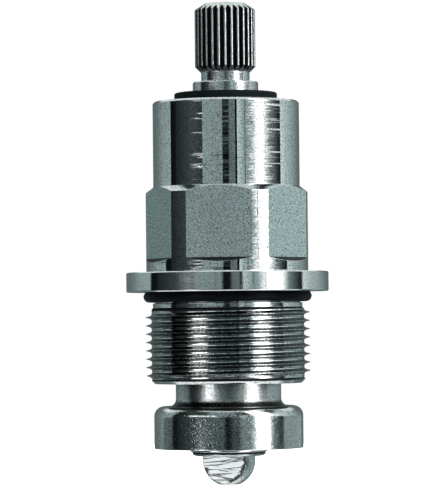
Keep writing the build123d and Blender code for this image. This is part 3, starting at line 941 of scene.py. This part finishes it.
def make_seat_parts():
    """The soft washer in the cup, hollow below, and the dished washer holding it, with painted shade in its creases."""
    floor = sizes("stem_plunger").head_end + CUP_DEPTH
    hole, rim, washer_end = 2.65, 9.25, floor - 3.4
    hollow, hollow_floor = 6.0, floor - 2.9
    washer = [
        (hole, floor, 0.05),
        (rim, floor, 0.1),
        (rim, washer_end, 0.2),
        (hollow, washer_end, 0.1),
        (hollow, hollow_floor, 0.1),
        (hole, hollow_floor, 0.05),
    ]
    turned_piece("seat_washer_skin", "seat_washer", "washer_rubber", washer)
    rim = node_radius("washer_retainer")
    low, high = node_low("washer_retainer"), node_high("washer_retainer")
    retainer = [
        (hole, high, 0.05),
        (rim - 0.15, high, 0.1),
        (rim, high - 0.2, 0.08),
        (rim, low + 1.16, 0.0),
        (rim, low + 1.03, 0.0),
        (rim, low + 0.74, 0.22),
        (rim - 0.34, low + 0.56, 0.04),
        (rim - 0.4, low + 0.38, 0.04),
        (rim - 0.3, low + 0.28, 0.05),
        (rim - 0.8, low, 0.3),
        (hole, low, 0.05),
    ]
    # Painted shade in the retainer's two creases.
    creases = ((low + 1.02, low + 1.17), (low + 0.36, low + 0.57))
    turned_piece("retainer_skin", "washer_retainer", "retainer_plating", retainer, creases)


def make_seat_screw():
    """The seat screw's domed head with two spanner flats, and its shank.

    In each column the flat's distance over the cosine limits the radius, and the dome's height there is the height of
    the sphere of the dome's radius at that radius.
    """
    p = sizes("stem_plunger")
    edge = math.acos(p.dome_flat / p.dome_radius)
    half = edge_columns(edge, math.pi, (0.15, 1.2), 61, 31)
    angles = np.concatenate([half, half + math.pi]) + math.radians(SCREW_TURN - 90)
    inside = np.abs(np.cos(np.concatenate([half, half])))
    limit = np.minimum(p.dome_flat / np.maximum(inside, TINY), p.dome_radius)
    low, under_head = node_low("seat_screw"), node_low("washer_retainer")
    tip = math.sqrt(p.dome_radius**2 - (low - p.dome_centre) ** 2)
    dome_start = p.dome_centre - np.sqrt(np.maximum(p.dome_radius**2 - limit**2, 0)) - 0.01
    shank, shank_top, shank_chamfer = 2.25, node_high("seat_screw"), 0.4
    corners = [
        (0.3, shank_top, 0.02),
        (shank - shank_chamfer, shank_top, 0.03),
        (shank, shank_top - shank_chamfer, 0.03),
        (shank, under_head + 0.02, 0.02),
        (limit, under_head, 0.06),
        (limit, dome_start + 0.05, 0.0),
        (limit, dome_start, 0.0),
    ]
    rows = outline(corners, len(angles), closed=False)
    share = np.concatenate([[0, 0.015], np.linspace(0.03, 1, 25)])[:, None]
    start_angle = np.arcsin(np.clip(limit / p.dome_radius, 0, 1))
    polar = start_angle * (1 - share) + math.asin(tip / p.dome_radius) * share
    dome = np.stack([p.dome_radius * np.sin(polar), p.dome_centre - p.dome_radius * np.cos(polar)], -1)
    rows = np.concatenate([rows[:-1], dome, profile([(tip - 0.08, low), (0.3, low)], len(angles))])
    on_flat = between(rows[..., 0] * inside - p.dome_flat, -NEAR, NEAR) & (rows[..., 1] < under_head + MARGIN)
    finishes, kinds = ("screw_plating", "scraped_plating"), 1 * faces_where(on_flat)
    piece = add_surface("seat_screw_skin", PLUNGER, around(rows, angles), finishes, kinds=kinds)
    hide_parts("seat_screw")


def make_flange_seal():
    """The O-ring under the flange: a round section carried round the axis, with a faint moulding line outside."""
    low, high = node_low("flange_oring"), node_high("flange_oring")
    section, height = (high - low) / 2, (high + low) / 2
    centre = node_radius("flange_oring") - section
    line_height, line_width = 0.03, 0.06
    turn, angles = circle(40), circle(300)
    line = line_height * np.exp(-((np.angle(np.exp(1j * turn)) / line_width) ** 2))
    wall = section - line_height + line
    rows = np.stack([centre + wall * np.cos(turn), height + wall * np.sin(turn)], -1)[::-1]
    rows = np.broadcast_to(rows[:, None, :], (len(rows), len(angles), 2))
    piece = add_surface("flange_seal", BONNET, around(rows, angles), ("seal_rubber",), wrap_rows=True)
    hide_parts("flange_oring")


def make_retaining_ring():
    """The E-shaped ring: a rounded section between an inner and an outer edge, carried from one side of the mouth round
    to the other. The inner edge steps in at the three prongs."""
    outer = node_radius("retaining_ring")
    low, high = node_low("retaining_ring"), node_high("retaining_ring")
    relief, seat, half_mouth, half_prong = 5.6, 4.45, 4.0, 1.5
    share = np.linspace(0, 1, 241)

    def edge(radius):
        gap = math.asin(half_mouth / radius)
        return math.pi / 2 + gap + share * (2 * math.pi - 2 * gap)

    def flat_circle(radius, angles):
        return np.stack([radius * np.cos(angles), radius * np.sin(angles)], -1)

    inner = np.full(len(share), relief)
    for prong in (-90, 10, 170):
        away = np.abs(np.angle(np.exp(1j * (edge(relief) - math.radians(prong)))))
        inner -= (relief - seat) * np.clip((math.asin(half_prong / relief) - away) / 0.05, 0, 1)
    inner_xy, outer_xy = flat_circle(inner, edge(relief)), flat_circle(outer, edge(outer))
    wide = outer - relief
    section = outline([(0, high, 0.06), (wide, high, 0.28), (wide, low, 0.1), (0, low, 0.06)], 1)
    across = section[..., :1] / wide
    xy = inner_xy[None] * (1 - across) + outer_xy[None] * across
    heights = np.broadcast_to(section[..., 1:], (*xy.shape[:2], 1))
    points = np.concatenate([xy, heights], -1).transpose(1, 0, 2)[::-1]
    piece = add_surface("retaining_ring_skin", SPINDLE, points, ("blackened_spring",))
    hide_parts("retaining_ring")


def dress_hidden_nodes():
    """The inner nodes that keep their own meshes get their finishes."""
    seals = ("spindle_oring_upper", "spindle_oring_lower", "plunger_oring")
    for node in ("thrust_washer", *seals):
        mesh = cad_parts[node].data
        mesh.materials.clear()
        mesh.materials.append(finish("seal_rubber" if node in seals else "slip_plastic"))


# The studio round the stem. Each card is given by where it starts and ends round the horizon (0 is the camera's side,
# left is negative), its brightness at either end, its lowest and highest elevation and the softness of its sides,
# all in degrees but the brightness. A later card stands in front of an earlier one.
FLOOR_LEVEL, CEILING_LEVEL = 0.9, 0.8
ROOM, WALL, BACK, TABLE = 62, 45, 26, -0.5
CARDS = {
    "dark_room": (-112, 112, 0.05, 0.05, -ROOM, ROOM, 12),
    "front_wall": (-40, 14, 0.26, 0.26, 14, ROOM, 6),
    "back_left_wall": (-182, -140, 0.12, 0.17, -WALL, BACK, 1),
    "left_wall": (-140, -118, 0.17, 0.32, -WALL, BACK, 1),
    "left_wall_lit": (-118, -97.5, 0.32, 0.38, -34, 34, 1),
    "left_table": (-121, -97.5, 0.09, 0.05, -34, TABLE, 1),
    "black_flag": (-97.5, -85, 0.004, 0.010, -WALL, WALL, 0.6),
    "curtain": (-85, -52, 0.020, 0.070, -WALL, WALL, 2),
    "curtain_fold": (-52, -37.5, 0.070, 0.040, -WALL, WALL, 1),
    "front_gap": (-5.5, 14, 0.12, 0.19, -6, 24, 0.8),
    "front_table": (-37.5, -2.5, 0.08, 0.06, -34, TABLE, 1),
    "near_table": (-2.5, 14, 0.03, 0.07, -34, TABLE, 1),
    "bright_strip": (16.8, 29, 0.68, 0.34, TABLE, 24, 0.6),
    "grey_card": (30, 56, 0.34, 0.38, TABLE, 24, 1),
    "right_table": (16.8, 42, 0.11, 0.34, -34, TABLE, 1),
    "right_shade": (54, 90, 0.38, 0.02, -34, 34, 1),
    "right_flag": (89, 94.5, 0.02, 0.02, -34, 34, 1),
    "right_wall_lit": (94.5, 108, 0.78, 0.52, -WALL, WALL, 0.8),
    "right_wall": (108, 150, 0.52, 0.16, -WALL, BACK, 1),
    "back_right_wall": (150, 182, 0.16, 0.12, -WALL, BACK, 1),
    "far_right_table": (94.5, 150, 0.26, 0.40, -34, TABLE, 1),
    "right_window": (66, 112, 1.0, 0.5, 4.4, 34, 3),
    "upper_panel": (42, 68, 6.0, 6.0, 20, ROOM, 12),
    "lower_panel": (42, 68, 6.0, 6.0, -ROOM, -16, 12),
    "high_tube": (-64, -20, 2.4, 2.4, 11, 17, 3),
}
# How soft a card's upper and lower edges are in degrees, near the horizon and away from it.
NEAR_HORIZON, SHARP, SOFT = 7, 0.4, 3.0
# What stands in front of the round lights, in the same order of values.
FRONT_CARDS = {
    "front_card": (-37.5, -5.5, 0.33, 0.30, 0.1, 11, 0.6),
    "thin_cable": (-14.1, -13.3, 0.08, 0.08, TABLE, 2, 0.3),
    "camera": (-6.0, 4.2, 0.004, 0.004, -5, 4.7, 1.0),
    "black_pole": (14.0, 17.0, 0.002, 0.002, -34, 50, 0.4),
    "right_cable": (43.7, 45.1, 0.02, 0.02, -0.6, 1.6, 0.4),
}
# Slits of light and dark at random heights start at this elevation. How bright the gaps in the camera's card are,
# the one pale slit at the left, and the whole studio.
SLITS_FROM = 1.3
CAMERA_GAP_LEVEL, LEFT_SLIT_LEVEL, LIGHT_STRENGTH = 0.11, 1.2, 1.15
# Round lights: azimuth and elevation of the middle, half width, half height, brightness, and softness as a share.
ROUND_LIGHTS = {
    "main_softbox": (54.5, -1, 13, 7, 1.6, 0.45),
    "main_core": (55, -1.5, 9, 2.2, 6.0, 0.4),
    "upper_softbox": (56, 11, 14, 5.5, 6.0, 0.25),
    "small_softbox": (-44, -17, 12, 10.5, 5.0, 0.3),
}


def light_studio():
    """The studio's light, as a function of the light's direction: a pale floor and ceiling with the cards between.

    Azimuth is the arctangent of the direction's parts, elevation the arcsine of its height. A card's mask is the
    product of two smooth spans across and two up, sharper near the horizon, and mixes its brightness over what stands
    behind it. Its brightness runs evenly from side to side. A round light's mask falls with the distance from its
    middle. A noise of the elevation alone cuts slits: it widens and narrows the round lights and opens gaps in the
    camera's dark card, so that each turned ring of the barrel reflects its own. One pale slit stands at the left. The
    dimmer the light, the cooler it is.
    """
    world = bpy.data.worlds.new("studio")
    world.use_nodes = True
    bpy.context.scene.world = world
    s = Shader(world.node_tree)
    x, y, z = s.parts(s.node("ShaderNodeTexCoord").outputs["Generated"])
    azimuth = s.times(s.math("ARCTAN2", x, s.times(y, -1.0)), 180 / math.pi)
    elevation = s.times(s.math("ARCSINE", z), 180 / math.pi)
    level = s.span(elevation, -20, 20, FLOOR_LEVEL, CEILING_LEVEL)
    slits = s.noise(s.vector(elevation), 0.9, detail=1.0)
    in_slits = s.times(s.span(elevation, SLITS_FROM, SLITS_FROM + 0.5), s.span(elevation, 9, 7))
    spread = s.add(1.0, s.times(in_slits, s.span(slits, 0.3, 0.7, -0.7, 0.7)))

    def lay_over(mask, brightness):
        return s.add(s.times(level, s.less(1.0, mask)), s.times(mask, brightness))

    def lay_card(left, right, at_left, at_right, low, high, soft):
        low_edge, high_edge = (SHARP if abs(edge) < NEAR_HORIZON else SOFT for edge in (low, high))
        mask = s.times(
            s.span(azimuth, left - soft / 2, left + soft / 2),
            s.span(azimuth, right + soft / 2, right - soft / 2),
            s.span(elevation, low - low_edge, low + low_edge),
            s.span(elevation, high + high_edge, high - high_edge),
        )
        return lay_over(mask, s.span(azimuth, left, right, at_left, at_right))

    for card in CARDS.values():
        level = lay_card(*card)
    for middle, height, half_width, half_height, brightness, soft in ROUND_LIGHTS.values():
        across = s.math("DIVIDE", s.less(azimuth, middle), s.times(spread, half_width))
        up = s.math("DIVIDE", s.less(elevation, height), half_height)
        away = s.math("SQRT", s.add(s.math("POWER", across, 2.0), s.math("POWER", up, 2.0)))
        level = lay_over(s.span(away, 1 + soft, 1 - soft), brightness)
    for card in FRONT_CARDS.values():
        level = lay_card(*card)
    fine_slits = s.noise(s.vector(y=elevation), 2.6, detail=1.0)
    in_camera = s.times(s.span(azimuth, -6.2, -5.8), s.span(azimuth, 4.4, 4.0))
    level = lay_over(s.times(in_slits, s.span(fine_slits, 0.57, 0.6), in_camera), CAMERA_GAP_LEVEL)
    slit_height = s.times(s.span(elevation, 1.25, 1.4), s.span(elevation, 1.8, 1.65))
    slit_width = s.times(s.span(azimuth, -60, -45), s.span(azimuth, -37.2, -37.8))
    level = lay_over(s.times(slit_height, slit_width), LEFT_SLIT_LEVEL)
    red = s.times(level, s.span(level, 0.4, 1.0, 0.79, 1.0))
    lit = s.node("ShaderNodeBackground", Color=s.vector(red, level, level), Strength=LIGHT_STRENGTH)
    seen = s.node("ShaderNodeBackground", Color=(1.0, 1.0, 1.0, 1.0), Strength=1.0)
    camera_ray = s.node("ShaderNodeLightPath").outputs["Is Camera Ray"]
    mixed = s.node("ShaderNodeMixShader", in0=camera_ray, in1=lit.outputs[0], in2=seen.outputs[0])
    s.node("ShaderNodeOutputWorld", Surface=mixed.outputs[0])


def make_floor():
    """A plain pale floor well below the stem, which hangs free as in the photograph."""
    pale = tuple(sizes("stem_finish").floor)
    mesh = bpy.data.meshes.new("floor")
    half, height = 4.0, -0.16
    corners = [(-half, -half, height), (half, -half, height), (half, half, height), (-half, half, height)]
    mesh.from_pydata(corners, [], [(0, 1, 2, 3)])
    floor = bpy.data.objects.new("floor", mesh)
    bpy.context.scene.collection.objects.link(floor)
    material, s = new_material("pale_floor")
    cloud = s.noise(s.place(), 3.0, detail=2.0)
    s.surface(
        Base_Color=s.mixed(s.span(cloud, 0.3, 0.7), pale, shaded(pale, 0.985)),
        Roughness=0.9,
        Emission_Color=(1.0, 1.0, 1.0, 1.0),
        Emission_Strength=1.1,
    )
    mesh.materials.append(material)
    floor.visible_glossy = False


# The photograph's height in pixels and its scale, the camera's distance and height in millimetres, the axis and the
# flange's underside in the photograph in pixels, and the camera's roll in degrees.
PHOTO_HEIGHT = 488
MM_PER_PIXEL = 0.1525
CAMERA_DISTANCE = 518.0
CAMERA_HEIGHT = -5.5
AXIS_RIGHT_OF_CENTRE = 12.55
FLANGE_SEAT_ROW = 291.9
ROLL = 0.566


def make_camera():
    """The camera on the photograph's line of sight: its distance sets the lens, and its aim the stem's place."""
    data = bpy.data.cameras.new("camera")
    data.sensor_width = 36.0
    data.lens = data.sensor_width * CAMERA_DISTANCE / (PHOTO_HEIGHT * MM_PER_PIXEL)
    data.dof.use_dof = False
    data.clip_start, data.clip_end = 0.01, 100.0
    camera = bpy.data.objects.new("camera", data)
    bpy.context.scene.collection.objects.link(camera)
    side = -AXIS_RIGHT_OF_CENTRE * MM_PER_PIXEL
    aim = Vector((side, 0, (FLANGE_SEAT_ROW - PHOTO_HEIGHT / 2) * MM_PER_PIXEL)) * MM
    camera.location = Vector((side, -CAMERA_DISTANCE, CAMERA_HEIGHT)) * MM
    look = (aim - camera.location).to_track_quat("-Z", "Y").to_matrix()
    camera.rotation_euler = (look @ Matrix.Rotation(math.radians(-ROLL), 3, "Z")).to_euler()
    bpy.context.scene.camera = camera


class STEM_OT_bonnet(bpy.types.Operator):
    """Makes the bonnet's skin, its thread and the seal under its flange."""

    bl_idname = "stem.bonnet"
    bl_label = "Bonnet"

    def execute(self, context):
        make_bonnet()
        make_bonnet_thread()
        make_flange_seal()
        return {"FINISHED"}


class STEM_OT_spindle(bpy.types.Operator):
    """Makes the spindle with its spline, the thread of its screw hole and the retaining ring."""

    bl_idname = "stem.spindle"
    bl_label = "Spindle"

    def execute(self, context):
        make_spindle()
        make_handle_screw_thread()
        make_retaining_ring()
        return {"FINISHED"}


class STEM_OT_plunger(bpy.types.Operator):
    """Makes the plunger, the seat washer, its retainer and the seat screw."""

    bl_idname = "stem.plunger"
    bl_label = "Plunger"

    def execute(self, context):
        make_plunger()
        make_seat_parts()
        make_seat_screw()
        return {"FINISHED"}


class STEM_OT_inner(bpy.types.Operator):
    """Gives the inner seals and the slip washer their finishes."""

    bl_idname = "stem.inner"
    bl_label = "Inner seals"

    def execute(self, context):
        dress_hidden_nodes()
        return {"FINISHED"}


class STEM_OT_stage(bpy.types.Operator):
    """Makes the pale floor, the studio light and the camera."""

    bl_idname = "stem.stage"
    bl_label = "Stage"

    def execute(self, context):
        light_studio()
        make_floor()
        make_camera()
        bpy.context.scene.view_settings.view_transform = "Standard"
        return {"FINISHED"}


class STEM_PT_sidebar(bpy.types.Panel):
    """Lists the steps that build the stem."""

    bl_idname = "STEM_PT_sidebar"
    bl_label = "Faucet stem"
    bl_space_type = "VIEW_3D"
    bl_region_type = "UI"
    bl_category = "Faucet stem"

    def draw(self, context):
        for step in STEPS:
            self.layout.operator(step.bl_idname)
        for group in GROUPS:
            self.layout.label(text=group.replace("_", " "))
            for item in getattr(context.scene, group).__annotations__:
                self.layout.prop(getattr(context.scene, group), item)


STEPS = (STEM_OT_bonnet, STEM_OT_spindle, STEM_OT_plunger, STEM_OT_inner, STEM_OT_stage)
GROUPS = {
    "stem_bonnet": BonnetSizes,
    "stem_spindle": SpindleSizes,
    "stem_plunger": PlungerSizes,
    "stem_finish": FinishColours,
}


def register():
    """Registers the classes and hangs the groups of sizes on the scene."""
    for cls in (*GROUPS.values(), *STEPS, STEM_PT_sidebar):
        bpy.utils.register_class(cls)
    for name, group in GROUPS.items():
        setattr(bpy.types.Scene, name, bpy.props.PointerProperty(type=group))


def unregister():
    """Undoes register."""
    for name in GROUPS:
        delattr(bpy.types.Scene, name)
    for cls in reversed((*GROUPS.values(), *STEPS, STEM_PT_sidebar)):
        bpy.utils.unregister_class(cls)


def main():
    register()
    bpy.ops.stem.bonnet()
    bpy.ops.stem.spindle()
    bpy.ops.stem.plunger()
    bpy.ops.stem.inner()
    bpy.ops.stem.stage()


if __name__ == "__main__":
    main()
